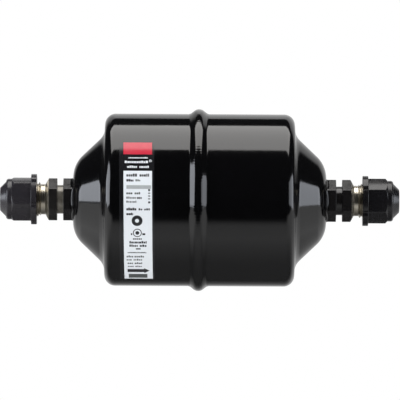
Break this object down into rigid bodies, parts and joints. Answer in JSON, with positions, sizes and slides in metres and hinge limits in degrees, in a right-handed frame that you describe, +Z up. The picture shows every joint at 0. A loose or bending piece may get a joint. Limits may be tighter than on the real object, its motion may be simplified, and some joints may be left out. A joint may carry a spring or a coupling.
{
  "type": "filter drier",
  "caption": "Hermetic liquid-line filter drier: welded black steel shell with coned ends, solid core inside, male flare connections closed by hexagonal screw caps.",
  "frame": {"origin": "on the shell's axis at the seam between its two halves, the centre of the bounding box", "axes": "+X along the axis with the flow, from the inlet connection to the outlet connection; -Y out of the label's front; +Z up"},
  "size_m": [0.1856, 0.0846, 0.0846],
  "materials": {
    "black_paint": "gloss",
    "plated_steel": "turned and plated",
    "braze_paint": "gloss",
    "weld_paint": "gloss",
    "cap_plastic": "satin",
    "seal_rubber": "matt",
    "label_film": "satin print",
    "spring_steel": "drawn wire",
    "sheet_steel": "pressed sheet",
    "desiccant": "moulded grain",
    "felt": "needled mat"
  },
  "bodies": {
    "root": {"inlet_shell": "black_paint", "outlet_shell": "black_paint", "seam_weld": "weld_paint", "inlet_connector": "plated_steel", "outlet_connector": "plated_steel", "inlet_braze": "braze_paint", "outlet_braze": "braze_paint", "label": "label_film", "spring": "spring_steel", "pressure_plate": "sheet_steel", "desiccant_core": "desiccant", "polyester_mat": "felt", "perforated_plate": "sheet_steel"},
    "inlet_seal_body": {"inlet_cap_seal": "seal_rubber"},
    "inlet_cap_body": {"inlet_cap": "cap_plastic"},
    "outlet_seal_body": {"outlet_cap_seal": "seal_rubber"},
    "outlet_cap_body": {"outlet_cap": "cap_plastic"}
  },
  "joints": [
    {"name": "inlet_cap_travel", "type": "slide", "parent": "root", "child": "inlet_seal_body", "axis": [-1, 0, 0], "range_m": [0, 0.01698]},
    {"name": "inlet_cap_turn", "type": "hinge", "parent": "inlet_seal_body", "child": "inlet_cap_body", "pos_m": [-0.0757, 0, 0], "axis": [-1, 0, 0], "range_deg": [0, 4320]},
    {"name": "outlet_cap_travel", "type": "slide", "parent": "root", "child": "outlet_seal_body", "axis": [1, 0, 0], "range_m": [0, 0.01698]},
    {"name": "outlet_cap_turn", "type": "hinge", "parent": "outlet_seal_body", "child": "outlet_cap_body", "pos_m": [0.0757, 0, 0], "axis": [1, 0, 0], "range_deg": [0, 4320]}
  ],
  "couplings": [
    {"joint": "inlet_cap_travel", "follows": "inlet_cap_turn", "m_per_rad": 0.00022459},
    {"joint": "outlet_cap_travel", "follows": "outlet_cap_turn", "m_per_rad": 0.00022459}
  ]
}
